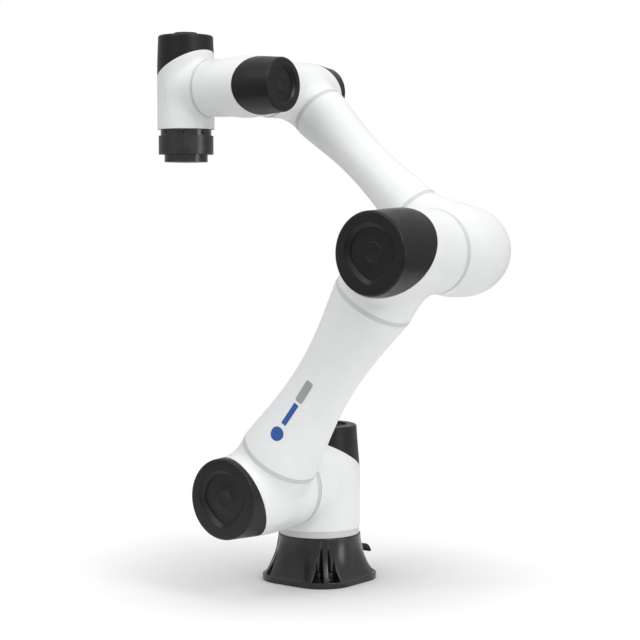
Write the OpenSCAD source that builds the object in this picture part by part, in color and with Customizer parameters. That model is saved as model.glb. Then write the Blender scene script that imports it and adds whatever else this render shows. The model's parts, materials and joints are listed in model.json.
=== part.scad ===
// Six-axis collaborative robot arm with joint modules, each a motor and a strain-wave gear under a cap.
// The origin is on the turning axis at the mounting face. +Z is up and +X runs from the column out to
// the upper arm. The rest pose leans the upper arm towards +Y and brings the wrist back over the base.

/* [Arm geometry] */
// Height of the shoulder axis above the mounting face
shoulder_h = 147; // [146:0.5:149]
// Distance from the turning axis out to the upper arm's centre line
upper_x = 144.5; // [143:0.5:146]
// Distance from the shoulder axis to the elbow axis
upper_len = 427; // [420:1:435]
// Lean of the upper arm from upright at rest, in degrees
upper_lean = 35.8; // [30:0.1:40]
// Distance from the turning axis out to the forearm's centre line
forearm_x = 22; // [20:0.5:24]
// Distance from the elbow axis to the first wrist axis
forearm_len = 357; // [350:1:364]
// Rise of the forearm above level at rest, in degrees
forearm_rise = 40.55; // [38:0.05:43]
// Distance from the turning axis out to the last two wrist axes
wrist_x = 141; // [140:0.5:142]
// Distance between the first and the last wrist axis
wrist_reach = 116; // [115:0.5:118]
// Distance from the second wrist axis to the tool face
tool_drop = 105; // [104:0.5:107]

/* [Base] */
// Side of the square foot
foot_side = 150; // [148:1:152]
// Radius of the foot's corners
foot_corner_r = 50; // [46:1:54]
// Thickness of the foot's rim
foot_t = 9; // [8:0.5:10]
// Height of the base's top face
base_top = 69.5; // [68:0.5:70]
// Radius of the base's top edge
base_top_r = 61.6; // [61:0.1:62]
// Spacing of a corner's two fixing holes, centre to centre
fixing_gap = 19; // [18:0.5:20]
// Distance from the base's axis to the middle of a corner's two fixing holes
fixing_r = 68; // [67:0.5:69]
// Diameter of a fixing hole
fixing_d = 9; // [8:0.5:10]

/* [Housings] */
// Outer radius of the column
column_r = 60.5; // [60:0.1:61]
// Outer radius of a large joint's barrel at its seam
large_r = 58; // [57.5:0.1:58.5]
// Outer radius of a large joint's cap at its rim
large_rim_r = 55.5; // [55:0.1:56]
// Outer radius of the first wrist housing at its seam
wrist1_r = 42; // [41.5:0.1:42.5]
// Outer radius of the second wrist housing at its seam
wrist2_r = 40.9; // [40.5:0.1:41.2]
// Outer radius of a small joint's cap at its rim
small_rim_r = 38.5; // [38:0.1:39]
// Outer radius of the last wrist housing
wrist3_r = 41.6; // [41.2:0.1:42]
// Wall thickness of the large cast housings
wall = 6; // [5:0.5:7]
// Wall thickness of the moulded caps
cap_wall = 2.5; // [2:0.5:3]
// Rise of a slanted cap seam for each unit across it
seam_slope = 0.537; // [0.5:0.001:0.57]
// Width of the trim rings around the arm tubes
trim_w = 6.5; // [5:0.5:8]
// Width of the soft seal band between two large joint faces
seal_w = 9; // [7:0.5:10]
// Width of the soft seal band between two small joint faces
small_seal_w = 5.8; // [4:0.1:6]
// Running gap between two bodies at a joint
gap = 0.4; // [0.3:0.05:0.6]

/* [Tool flange] */
// Diameter of the raised tool face
tool_face_d = 63; // [62:0.5:64]
// Diameter of the circle through the tool's threaded holes
tool_pcd = 50; // [48:0.5:52]
// Core diameter of a tool thread
tool_core_d = 5; // [4.8:0.1:5.4]
// Diameter of the centring recess in the tool face
tool_recess_d = 31.5; // [30:0.5:33]
// Depth of the centring recess
tool_recess_h = 6; // [5:0.5:7]

/* [Hidden] */
$fn = 96;
e = 0.01;
far = 400;
// Radius of the round edge of every cap
rim_round = 3;

white = "whitesmoke";
black = [0.09, 0.09, 0.1];
ring_grey = [0.72, 0.73, 0.74];

// Joint centres
elbow_y = upper_len * sin(upper_lean);
elbow_z = shoulder_h + upper_len * cos(upper_lean);
wrist_y = elbow_y - forearm_len * cos(forearm_rise);
wrist_z = elbow_z + forearm_len * sin(forearm_rise);
tool_y = wrist_y - wrist_reach;

// Lean of each link from upright, positive towards +Y
forearm_lean = forearm_rise - 90;

// Faces along +X at the shoulder and elbow
shoulder_face = 79;
elbow_face = 75;
shoulder_rim = 223.5;
elbow_rim = 219.5;
shoulder_cut = 184;
elbow_cut = 171;
// The forearm's elbow end: X of its widest part's far edge, of a bend in its taper and of its end
elbow_full = -10;
elbow_bend = -36;
elbow_back = -72;
// Column: lower seam, cap seam on the axis and cap top
column_foot = base_top + 10;
column_taper_z = 150;
column_cut = 187.5;
column_top = 232;
column_rim_r = 56;
// Small joints: distance from the joint's centre to its seam, cap seam and cap top
wrist1_seam = 93;
wrist1_cut = -15;
wrist1_rim = -44;
wrist2_seam = 68;
wrist2_cut = 27.5;
wrist2_rim = 67.5;
wrist3_seam = 57.5;
wrist3_cut = 34;
wrist3_rim = 78.5;
wrist3_rim_r = 40;
// Radius of the next housing's neck on each small joint
wrist2_neck_r = 40.6;
wrist3_neck_r = 39.6;

// Trim rings: distance of their middle from the joint below, and their radius
ring1_t = 70.5;
ring1_r = 57.4;
ring2_t = 348.7;
ring2_r = 57.2;
ring3_t = 82;
ring3_r = 39.5;
ring4_t = 306.8;
ring4_r = 40.6;
// Narrowest radius of each tube
upper_waist_r = 42;
forearm_waist_r = 31.8;

upper_t0 = ring1_t + trim_w / 2;
upper_t1 = ring2_t - trim_w / 2;
// Bores of the large and the small housings
large_bore = large_r - wall;
small_bore = 35;
// Radii of the forearm's round elbow end: widest, at the bend and at the end
elbow_bulge_r = 64.5;
elbow_bend_r = 55.5;
elbow_end_r = 31;
// Distance from the last two wrist axes' crossing to the seam of the last housing's neck
neck_face = wrist_reach - wrist2_seam;

// Base: inner corner of a notch, and the cover below
notch_in = 39;
cover_r = 53;
cover_t = 3;
// Connector, from its inner end to its mouth, and the pivot of its lever
conn_x0 = -54;
conn_x1 = -85.6;
conn_z0 = 10;
conn_w = 34;
conn_h = 20;
conn_wall = 3;
conn_depth = 20;
lever_x = -81.6;
lever_z = 18;
lever_arm_t = 2.5;
lever_width = conn_w + 2 * (gap + lever_arm_t);

// Labels on the upper arm: thickness, distances from the shoulder axis and widths
label_t = 0.5;
disc_at = 121.5;
disc_d = 20;
bar_from = 138;
bar_w = 8;
plate_from = 177;
plate_w = 12;
plate_corner = 3;
label_len = 35;

// Collar and flange below the last wrist housing
collar_top = wrist3_seam + gap;
collar_h = 9;
collar_r = 37;
flange_r = 40;
flange_h = 27;
set_screws = 8;
set_screw_d = 3;

// Drives: radii of gear, stator, stator bore, rotor and shaft, and lengths of gear and motor
large_drive = [large_bore - 0.1, 48, 31, 30.2, 12, 28, 30];
small_drive = [small_bore - 0.1, 32, 20.5, 19.8, 8, 18, 20];
// Radius of the electronics boards, and distance of a gear from its joint's seam
large_board_r = 47;
small_board_r = 32;
gear_at = 2;

// Turns local +Z to the global +X, with local +X along a link that leans by the angle a
module axis_x(a) {
    rotate([180 - a, 0, 0]) rotate([0, 90, 0]) children();
}
module at_shoulder() {
    translate([0, 0, shoulder_h]) axis_x(upper_lean) children();
}
module at_elbow(a) {
    translate([0, elbow_y, elbow_z]) axis_x(a) children();
}
module at_wrist1() {
    translate([0, wrist_y, wrist_z]) axis_x(forearm_lean) children();
}
// Local +Z is +Y and local +X is -X
module at_wrist2() {
    translate([wrist_x, wrist_y, wrist_z]) rotate([-90, 0, 0]) rotate([0, 0, 180]) children();
}
// Local +Z is +Z and local +X is +Y
module at_wrist3() {
    translate([wrist_x, tool_y, wrist_z]) rotate([0, 0, 90]) children();
}
// Local +Z runs along the upper arm from the shoulder axis
module along_upper() {
    translate([upper_x, 0, shoulder_h]) rotate([-upper_lean, 0, 0]) children();
}
// Local +Z runs along the forearm from the elbow axis
module along_forearm() {
    translate([forearm_x, elbow_y, elbow_z]) rotate([-forearm_lean, 0, 0]) children();
}

// Keeps what is below a slanted plane through [0, 0, z] that rises towards local +X
module below_plane(z, slope) {
    translate([0, 0, z]) rotate([0, -atan(slope), 0])
        translate([-far, -far, -2 * far]) cube([2 * far, 2 * far, 2 * far]);
}
module above_plane(z, slope) {
    translate([0, 0, z]) rotate([0, -atan(slope), 0])
        translate([-far, -far, 0]) cube([2 * far, 2 * far, 2 * far]);
}
module tube(r_out, r_in, z0, z1) {
    translate([0, 0, z0]) difference() {
        cylinder(h = z1 - z0, r = r_out);
        translate([0, 0, -1]) cylinder(h = z1 - z0 + 2, r = r_in);
    }
}
// Straight or tapered solid barrel
module barrel(r0, r1, z0, z1) {
    translate([0, 0, z0]) cylinder(h = z1 - z0, r1 = r0, r2 = r1);
}

// Cap: a hollow cover with a rounded rim and a dished face around a round boss, cut by a slanted seam
module cap_shell(r0, r1, z0, z1, z_cut, slope) {
    rim = rim_round;
    dish_r = r1 * 0.7;
    dish_h = 3;
    boss_r = r1 * 0.22;
    skin = cap_wall + dish_h + 1;
    difference() {
        intersection() {
            union() {
                barrel(r0, r1, z0, z1 - rim);
                rotate_extrude() {
                    translate([0, z1 - rim]) square([r1 - rim, rim]);
                    translate([r1 - rim, z1 - rim]) intersection() {
                        circle(r = rim);
                        square([rim, rim]);
                    }
                }
            }
            above_plane(z_cut, slope);
        }
        barrel(r0 - cap_wall, r1 - cap_wall, z0 - 1, z1 - skin - rim / 2);
        translate([0, 0, z1 - dish_h]) difference() {
            cylinder(h = dish_h + 1, r1 = dish_r - dish_h, r2 = dish_r + 1);
            cylinder(h = dish_h - 1, r = boss_r);
        }
    }
}

// Drive parts along local +Z from the joint's output face
module gear(d, z) {
    tube(d[0], d[4] + 4, z, z + d[5]);
}
module stator(d, z) {
    color([0.72, 0.42, 0.2]) tube(d[1], d[2], z + d[5] + 3, z + d[5] + 3 + d[6]);
}
module rotor(d, z) {
    magnet_z = z + d[5] + 4;
    shaft_end = z + d[5] + d[6] + 14;
    color("silver") difference() {
        union() {
            barrel(d[3], d[3], magnet_z, magnet_z + d[6] - 2);
            barrel(d[4], d[4], z + 1, shaft_end);
        }
        barrel(d[4] - 3, d[4] - 3, z, shaft_end + 1);
    }
}
module board(d, z, r) {
    board_z = z + d[5] + d[6] + 8;
    color("seagreen") tube(r, d[4] + 3, board_z, board_z + 2);
}

// Base ------------------------------------------------------------------------------------------
module foot_outline(inset) {
    r = foot_corner_r - inset;
    s = foot_side / 2 - inset;
    union() {
        square([2 * s, 2 * (s - r)], center = true);
        square([2 * (s - r), 2 * s], center = true);
        for (x = [-1, 1], y = [-1, 1]) translate([x * (s - r), y * (s - r)]) circle(r = r);
    }
}
// Solid flare from the round top to beyond the foot's corners
module flare() {
    flare_r = 92;
    foot_reach = 88;
    intersection() {
        rotate_extrude() difference() {
            square([foot_reach, base_top]);
            translate([base_top_r + flare_r - 0.7, base_top + 8]) circle(r = flare_r, $fn = 180);
        }
        linear_extrude(base_top) foot_outline(2);
    }
}
// Square notch at a corner of the flare, with its inner corner on the diagonal
module corner_notch() {
    notch_top = base_top - 3;
    translate([notch_in, notch_in, foot_t - 1]) cube([60, 60, notch_top - foot_t + 1]);
}
// Upright rib on the diagonal that fills the middle of the notch
module corner_rib() {
    rib_t = 8;
    translate([notch_in, 0, 0]) intersection() {
        translate([0, -rib_t / 2, foot_t - 1]) cube([40, rib_t, base_top - 3 - foot_t]);
        translate([-notch_in - 1.5, 0, 0]) flare();
    }
}
module fixing_places() {
    for (a = [45:90:315]) rotate([0, 0, a])
        for (side = [-1, 1]) translate([fixing_r, side * fixing_gap / 2, 0]) children();
}
module base_casting() {
    cavity_r = 50;
    top_wall = 10;
    scallop_h = 12;
    spot_face = 0.5;
    color(black) difference() {
        union() {
            linear_extrude(foot_t) foot_outline(0);
            difference() {
                flare();
                for (a = [0:90:270]) rotate([0, 0, a]) corner_notch();
            }
            for (a = [45:90:315]) rotate([0, 0, a]) corner_rib();
        }
        fixing_places() translate([0, 0, -1]) cylinder(h = foot_t + 2, d = fixing_d);
        fixing_places() translate([0, 0, foot_t - spot_face]) cylinder(h = scallop_h, r = 7);
        translate([0, 0, -1]) cylinder(h = base_top - top_wall + 1, r = cavity_r);
        translate([0, 0, -1]) cylinder(h = cover_t + 1, r = cover_r);
        cylinder(h = base_top + 1, r = 16);
        translate([conn_x1 - 1, -conn_w / 2, conn_z0]) cube([conn_x0 - conn_x1 + 1, conn_w, conn_h]);
    }
}
// Closes the base's cavity from below
module base_cover() {
    color([0.3, 0.3, 0.32]) cylinder(h = cover_t, r = cover_r);
}

// Cable connector on the base's -X side
module base_connector() {
    color(black) difference() {
        translate([conn_x1, -conn_w / 2, conn_z0]) cube([conn_x0 - conn_x1, conn_w, conn_h]);
        translate([conn_x1 - 1, -conn_w / 2 + conn_wall, conn_z0 + conn_wall])
            cube([conn_depth + 1, conn_w - 2 * conn_wall, conn_h - 2 * conn_wall]);
    }
}
// Contact block at the bottom of the connector's socket
module connector_insert() {
    block_t = 6;
    x = conn_x1 + conn_depth;
    color("dimgray") translate([x - block_t, -11, conn_z0 + 5]) cube([block_t, 22, conn_h - 10]);
}
// Lever: a slim arm on each side of the connector, joined above it by a curled thumb tab
module connector_latch() {
    boss_r = 2.8;
    arm_w = 3.4;
    curl_x = -86;
    curl_z = 21;
    curl_r = 20;
    curl_t = 3;
    tip_angle = 18;
    bridge_x = 8;
    color(black) {
        for (s = [-1, 1]) translate([lever_x, s * (conn_w / 2 + gap + lever_arm_t / 2), lever_z])
            rotate([90, 0, 0]) translate([0, 0, -lever_arm_t / 2]) union() {
                cylinder(h = lever_arm_t, r = boss_r);
                translate([-arm_w / 2, 0, 0])
                    cube([arm_w, curl_z + curl_r - lever_z - 1, lever_arm_t]);
            }
        translate([curl_x, -lever_width / 2, curl_z + curl_r - curl_t])
            cube([bridge_x, lever_width, curl_t]);
        translate([curl_x, 0, curl_z]) rotate([90, 0, 0]) intersection() {
            tube(curl_r, curl_r - curl_t, -lever_width / 2, lever_width / 2);
            translate([-2 * curl_r, 0, -lever_width]) cube([2 * curl_r, 2 * curl_r, 2 * lever_width]);
            rotate([0, 0, -tip_angle]) translate([-2 * curl_r, 0, -lever_width])
                cube([4 * curl_r, 2 * curl_r, 2 * lever_width]);
        }
    }
}

// Shoulder --------------------------------------------------------------------------------------
module base_seal_ring() {
    color(ring_grey) tube(column_r - 1, large_bore, base_top + gap, column_foot);
}
module shoulder_housing() {
    neck_wall = 8;
    color(white) difference() {
        intersection() {
            union() {
                barrel(column_r, column_r, column_foot, column_taper_z);
                barrel(column_r, column_rim_r, column_taper_z, column_top - rim_round);
                translate([0, 0, shoulder_h]) rotate([0, 90, 0])
                    cylinder(h = shoulder_face - seal_w - gap, r = large_r);
            }
            below_plane(column_cut, seam_slope);
        }
        translate([0, 0, column_foot - 1]) cylinder(h = far, r = large_bore);
        translate([0, 0, shoulder_h]) rotate([0, 90, 0])
            cylinder(h = shoulder_face - seal_w - neck_wall, r = 46);
        translate([0, 0, shoulder_h]) rotate([0, 90, 0]) cylinder(h = 100, r = 16);
    }
}
module shoulder_cap() {
    color(black)
        cap_shell(column_r, column_rim_r, column_taper_z, column_top, column_cut, seam_slope);
}

// Upper arm -------------------------------------------------------------------------------------
module upper_arm_seal_ring() {
    color(ring_grey) at_shoulder()
        tube(large_r - 0.8, 40, shoulder_face - seal_w, shoulder_face - e);
}
// A large joint's barrel with the neck of the arm tube, cut by the cap's slanted seam.
// side is 1 where the tube leaves along local +X, and -1 where it leaves along -X.
module large_housing(face, rim, cut, side, neck_t) {
    difference() {
        intersection() {
            union() {
                barrel(large_r, large_rim_r, face, rim - rim_round);
                translate([0, 0, upper_x]) rotate([0, side * 90, 0])
                    cylinder(h = neck_t, r = ring1_r - 0.6);
            }
            rotate([0, 0, side > 0 ? 0 : 180]) below_plane(cut, seam_slope);
        }
        translate([0, 0, face - 1]) cylinder(h = far, r = large_bore);
        translate([0, 0, upper_x]) rotate([0, side * 90, 0]) cylinder(h = neck_t + 1, r = 44);
    }
}
module upper_arm_housing() {
    color(white) at_shoulder()
        large_housing(shoulder_face, shoulder_rim, shoulder_cut, 1, ring1_t - trim_w / 2);
}
module upper_arm_cap() {
    color(black) at_shoulder()
        cap_shell(large_r, large_rim_r, shoulder_face, shoulder_rim, shoulder_cut, seam_slope);
}
module trim_ring(r, r_in, t) {
    color(ring_grey) tube(r, r_in, t - trim_w / 2 + e, t + trim_w / 2 - e);
}
module upper_arm_lower_ring() {
    along_upper() trim_ring(ring1_r, 40, ring1_t);
}
module upper_arm_upper_ring() {
    along_upper() trim_ring(ring2_r, 40, ring2_t);
}
// Outline of a waisted tube: two radii at its ends and an arc that passes through the waist's radius
module waisted_outline(t0, t1, r_end, waist_r, r_in) {
    half = (t1 - t0) / 2;
    dip = r_end - waist_r;
    arc_r = (half * half + dip * dip) / (2 * dip);
    difference() {
        translate([r_in, t0]) square([r_end - r_in, t1 - t0]);
        translate([waist_r + arc_r, (t0 + t1) / 2]) circle(r = arc_r, $fn = 180);
    }
}
module upper_arm_tube() {
    color(white) along_upper() rotate_extrude()
        waisted_outline(upper_t0, upper_t1, ring1_r - 0.4, upper_waist_r, 36);
}
module elbow_housing() {
    color(white) at_elbow(upper_lean)
        large_housing(elbow_face, elbow_rim, elbow_cut, -1, upper_len - ring2_t - trim_w / 2);
}
module elbow_cap() {
    color(black) at_elbow(upper_lean) rotate([0, 0, 180])
        cap_shell(large_r, large_rim_r, elbow_face, elbow_rim, elbow_cut, seam_slope);
}

// Labels: thin films on the outer side of the upper arm
module label_film() {
    along_upper() difference() {
        rotate_extrude()
            waisted_outline(upper_t0 + 10, upper_t1 - 10, 55, upper_waist_r + label_t + 0.05, 41);
        rotate_extrude()
            waisted_outline(upper_t0, upper_t1, ring1_r - 0.4, upper_waist_r + 0.05, 30);
    }
}
// Local +Z points out of the upper arm's outer side and local -X runs along the arm
module on_label_side() {
    along_upper() rotate([0, 90, 0]) translate([0, 0, 30]) children();
}
module blue_label() {
    color("royalblue") intersection() {
        label_film();
        on_label_side() {
            translate([-disc_at, 0, 0]) cylinder(h = 40, d = disc_d);
            translate([-bar_from - label_len, -bar_w / 2, 0]) cube([label_len, bar_w, 40]);
        }
    }
}
module grey_label() {
    x0 = -plate_from - label_len;
    c = plate_corner;
    color("gray") intersection() {
        label_film();
        on_label_side() {
            translate([x0 + c, -plate_w / 2, 0]) cube([label_len - 2 * c, plate_w, 40]);
            translate([x0, c - plate_w / 2, 0]) cube([label_len, plate_w - 2 * c, 40]);
            for (x = [c, label_len - c], y = [c, plate_w - c])
                translate([x0 + x, y - plate_w / 2, 0]) cylinder(h = 40, r = c);
        }
    }
}

// Forearm ---------------------------------------------------------------------------------------
module forearm_seal_ring() {
    color(ring_grey) at_elbow(upper_lean)
        tube(large_r - 0.8, 40, elbow_face - seal_w, elbow_face - gap);
}
module forearm_housing() {
    face = elbow_face - seal_w;
    end_wall = 8;
    bore_start = -24;
    neck_start = 30;
    color(white) difference() {
        union() {
            at_elbow(forearm_lean) rotate_extrude() polygon([
                [0, elbow_back], [elbow_end_r, elbow_back], [elbow_bend_r, elbow_bend],
                [elbow_bulge_r, elbow_full], [elbow_bulge_r, forearm_x], [large_r, face], [0, face]
            ]);
            intersection() {
                along_forearm() translate([0, 0, neck_start])
                    cylinder(h = ring3_t - trim_w / 2 - neck_start, r1 = 47, r2 = ring3_r);
                translate([face - far, -far, 0]) cube([far, 2 * far, 3 * far]);
            }
        }
        at_elbow(forearm_lean) barrel(50, 50, bore_start, face - end_wall);
        at_elbow(forearm_lean) barrel(16, 16, 0, 100);
        along_forearm() cylinder(h = 100, r = 28);
    }
}
module forearm_lower_ring() {
    along_forearm() trim_ring(ring3_r, 27, ring3_t);
}
module forearm_upper_ring() {
    along_forearm() trim_ring(ring4_r, 27, ring4_t);
}
module forearm_tube() {
    color(white) along_forearm() rotate_extrude()
        waisted_outline(ring3_t + trim_w / 2, ring4_t - trim_w / 2, ring3_r, forearm_waist_r, 26);
}
// Local +Z of the first wrist joint's barrel points along -X, away from its output face
module along_wrist1() {
    translate([0, wrist_y, wrist_z]) rotate([0, -90, 0]) rotate([0, 0, 180 - forearm_lean]) children();
}
module wrist1_housing() {
    color(white) difference() {
        intersection() {
            union() {
                along_wrist1() barrel(wrist1_r, small_rim_r, -wrist1_seam, -wrist1_rim - rim_round);
                along_forearm() translate([0, 0, ring4_t + trim_w / 2])
                    cylinder(h = forearm_len - ring4_t - trim_w / 2, r = ring4_r - 0.3);
            }
            along_wrist1() below_plane(-wrist1_cut, seam_slope);
        }
        along_wrist1() barrel(small_bore, small_bore, -wrist1_seam - 1, far);
        along_forearm() translate([0, 0, ring4_t]) cylinder(h = 50, r = 27);
    }
}
module wrist1_cap() {
    color(black) along_wrist1()
        cap_shell(wrist1_r, small_rim_r, -wrist1_seam, -wrist1_rim, -wrist1_cut, seam_slope);
}

// Wrist -----------------------------------------------------------------------------------------
module wrist2_seal_ring() {
    color(ring_grey) at_wrist1()
        tube(wrist2_neck_r - 0.6, 26, wrist1_seam + gap, wrist1_seam + small_seal_w);
}
module wrist2_housing() {
    face = wrist1_seam + small_seal_w + e;
    end_wall = 7;
    color(white) difference() {
        intersection() {
            union() {
                at_wrist2() barrel(wrist2_r, small_rim_r, -wrist2_seam, wrist2_rim - rim_round);
                at_wrist1() barrel(wrist2_neck_r, wrist2_neck_r, face, wrist_x);
            }
            at_wrist2() below_plane(wrist2_cut, seam_slope);
        }
        at_wrist2() barrel(small_bore, small_bore, -wrist2_seam - 1, far);
        at_wrist1() barrel(26, 26, face + end_wall, wrist_x);
        at_wrist1() barrel(12, 12, face - 1, wrist_x);
    }
}
module wrist2_cap() {
    color(black) at_wrist2()
        cap_shell(wrist2_r, small_rim_r, -wrist2_seam, wrist2_rim, wrist2_cut, seam_slope);
}
// Local +Z runs from the last wrist axis towards the second wrist axis
module wrist3_neck_axis() {
    translate([wrist_x, tool_y, wrist_z]) rotate([-90, 0, 0]) children();
}
module wrist3_seal_ring() {
    color(ring_grey) wrist3_neck_axis()
        tube(wrist3_neck_r - 0.6, 26, neck_face - small_seal_w, neck_face - gap);
}
module wrist3_housing() {
    face = neck_face - small_seal_w - e;
    color(white) difference() {
        intersection() {
            union() {
                at_wrist3() barrel(wrist3_r, wrist3_rim_r, -wrist3_seam, wrist3_rim - rim_round);
                wrist3_neck_axis() barrel(wrist3_neck_r, wrist3_neck_r, 0, face);
            }
            at_wrist3() below_plane(wrist3_cut, seam_slope);
        }
        at_wrist3() barrel(small_bore, small_bore, -wrist3_seam - 1, far);
        wrist3_neck_axis() barrel(12, 12, 0, face + 1);
    }
}
module wrist3_cap() {
    color(black) at_wrist3()
        cap_shell(wrist3_r, wrist3_rim_r, -wrist3_seam, wrist3_rim, wrist3_cut, seam_slope);
}

// Tool flange -----------------------------------------------------------------------------------
module at_tool() {
    translate([wrist_x, tool_y, wrist_z]) rotate([180, 0, 0]) children();
}
module set_screw_places() {
    for (k = [0:set_screws - 1]) rotate([0, 0, k * 360 / set_screws - 35])
        translate([0, 0, collar_top + collar_h / 2]) rotate([0, 90, 0]) children();
}
module flange_collar() {
    color([0.16, 0.16, 0.17]) at_tool() difference() {
        tube(collar_r, 20, collar_top, collar_top + collar_h);
        set_screw_places() translate([0, 0, 28]) cylinder(h = 20, d = set_screw_d);
    }
}
module collar_screws() {
    color("silver") at_tool() set_screw_places() translate([0, 0, 28.1])
        difference() {
            cylinder(h = 7.5, d = set_screw_d - 0.1);
            translate([0, 0, 6]) cylinder(h = 3, d = 1.5, $fn = 6);
        }
}
module tool_flange() {
    top = collar_top + collar_h;
    color([0.2, 0.2, 0.21]) at_tool() difference() {
        union() {
            barrel(flange_r, flange_r, top + e, top + flange_h);
            barrel(tool_face_d / 2, tool_face_d / 2, top, tool_drop);
        }
        translate([0, 0, tool_drop - tool_recess_h]) cylinder(h = 20, d = tool_recess_d);
        barrel(14, 14, top - 1, tool_drop);
        for (a = [0:90:270]) rotate([0, 0, a + 10]) translate([tool_pcd / 2, 0, tool_drop - 12])
            cylinder(h = 20, d = tool_core_d);
        rotate([0, 0, 55]) translate([tool_pcd / 2, 0, tool_drop - 7]) cylinder(h = 20, d = 6);
    }
}

// Drives ----------------------------------------------------------------------------------------
module drive1() {
    translate([0, 0, column_foot]) children();
}
module drive2() {
    at_shoulder() translate([0, 0, shoulder_face]) children();
}
module drive3() {
    at_elbow(upper_lean) translate([0, 0, elbow_face]) children();
}
module drive4() {
    translate([wrist1_seam, wrist_y, wrist_z]) rotate([0, -90, 0]) children();
}
module drive5() {
    at_wrist2() translate([0, 0, -wrist2_seam]) children();
}
module drive6() {
    at_wrist3() translate([0, 0, -wrist3_seam]) children();
}

base_casting();
base_cover();
base_connector();
connector_insert();
connector_latch();
base_seal_ring();
shoulder_housing();
shoulder_cap();
upper_arm_seal_ring();
upper_arm_housing();
upper_arm_cap();
upper_arm_lower_ring();
upper_arm_tube();
upper_arm_upper_ring();
elbow_housing();
elbow_cap();
forearm_seal_ring();
forearm_housing();
forearm_lower_ring();
forearm_tube();
forearm_upper_ring();
wrist1_housing();
wrist1_cap();
wrist2_seal_ring();
wrist2_housing();
wrist2_cap();
wrist3_seal_ring();
wrist3_housing();
wrist3_cap();
flange_collar();
collar_screws();
tool_flange();
blue_label();
grey_label();
drive1() gear(large_drive, gear_at);  // joint1_gear
drive1() stator(large_drive, gear_at);  // joint1_stator
drive1() rotor(large_drive, gear_at);  // joint1_rotor
drive1() board(large_drive, gear_at, large_board_r);  // joint1_board
drive2() gear(large_drive, gear_at);  // joint2_gear
drive2() stator(large_drive, gear_at);  // joint2_stator
drive2() rotor(large_drive, gear_at);  // joint2_rotor
drive2() board(large_drive, gear_at, large_board_r);  // joint2_board
drive3() gear(large_drive, gear_at);  // joint3_gear
drive3() stator(large_drive, gear_at);  // joint3_stator
drive3() rotor(large_drive, gear_at);  // joint3_rotor
drive3() board(large_drive, gear_at, large_board_r);  // joint3_board
drive4() gear(small_drive, gear_at);  // joint4_gear
drive4() stator(small_drive, gear_at);  // joint4_stator
drive4() rotor(small_drive, gear_at);  // joint4_rotor
drive4() board(small_drive, gear_at, small_board_r);  // joint4_board
drive5() gear(small_drive, gear_at);  // joint5_gear
drive5() stator(small_drive, gear_at);  // joint5_stator
drive5() rotor(small_drive, gear_at);  // joint5_rotor
drive5() board(small_drive, gear_at, small_board_r);  // joint5_board
drive6() gear(small_drive, gear_at);  // joint6_gear
drive6() stator(small_drive, gear_at);  // joint6_stator
drive6() rotor(small_drive, gear_at);  // joint6_rotor
drive6() board(small_drive, gear_at, small_board_r);  // joint6_board
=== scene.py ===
"""Looks of a six-axis collaborative robot arm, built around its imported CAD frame.

Shapes are worked out in millimetres, along the frame's own axes. Cast housings are smooth blends of
turned bars, found as the zero surface of a distance function and then cut by flat seam planes. Caps
and tubes are turned profiles. The other CAD nodes keep their shapes and get procedural materials.
"""

import json
import math

import bmesh
import bpy
import numpy as np
from mathutils import Matrix, Vector


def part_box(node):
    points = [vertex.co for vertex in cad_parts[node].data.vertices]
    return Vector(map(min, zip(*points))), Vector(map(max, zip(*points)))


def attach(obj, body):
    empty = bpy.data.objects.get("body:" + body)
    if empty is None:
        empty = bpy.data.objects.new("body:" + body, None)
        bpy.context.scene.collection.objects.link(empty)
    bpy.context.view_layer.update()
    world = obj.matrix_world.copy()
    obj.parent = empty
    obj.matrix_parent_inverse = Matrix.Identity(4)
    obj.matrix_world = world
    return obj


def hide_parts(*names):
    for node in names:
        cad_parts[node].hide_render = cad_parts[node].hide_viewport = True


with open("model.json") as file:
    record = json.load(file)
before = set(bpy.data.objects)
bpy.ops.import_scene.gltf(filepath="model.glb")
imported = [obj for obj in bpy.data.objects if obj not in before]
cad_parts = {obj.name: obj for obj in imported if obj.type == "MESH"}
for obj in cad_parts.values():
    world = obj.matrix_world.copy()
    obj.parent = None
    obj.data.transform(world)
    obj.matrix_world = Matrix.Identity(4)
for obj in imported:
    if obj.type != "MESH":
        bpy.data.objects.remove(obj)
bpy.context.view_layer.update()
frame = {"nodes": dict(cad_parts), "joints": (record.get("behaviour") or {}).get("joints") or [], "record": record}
MM = 0.001

# ---------------------------------------------------------------- places, from the frame
X, Y, Z = np.eye(3)
JOINTS = {j["name"]: np.array(j["pos_m"]) / MM for j in frame["joints"]}


def span(node, axis):
    """Lowest and highest coordinate of a CAD node along one axis, in millimetres."""
    low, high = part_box(node)
    return low[axis] / MM, high[axis] / MM


def middle(node, axis):
    return sum(span(node, axis)) / 2


def unit(v):
    return v / np.linalg.norm(v)


class Place:
    """A local frame: an origin, the direction of local z, and roughly that of local x."""

    def __init__(self, origin, z, x):
        self.origin = np.array(origin, float)
        x = unit(x - z * np.dot(x, z))
        self.rows = np.stack([x, np.cross(z, x), z])

    def local(self, p):
        return (p - self.origin) @ self.rows.T

    def world(self, q):
        return q @ self.rows + self.origin


SHOULDER_POINT = JOINTS["joint2_shoulder"]
ELBOW_POINT = JOINTS["joint3_elbow"]
WRIST_POINT = JOINTS["joint4_wrist"]
UPPER_DIR = unit(ELBOW_POINT - SHOULDER_POINT)
FOREARM_DIR = unit(WRIST_POINT - ELBOW_POINT)
UPPER_X = middle("upper_arm_tube", 0)
FOREARM_X = middle("forearm_tube", 0)
WRIST_X = JOINTS["joint5_wrist"][0]
TOOL_POINT = np.array([*JOINTS["joint6_flange"][:2], WRIST_POINT[2]])

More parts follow.
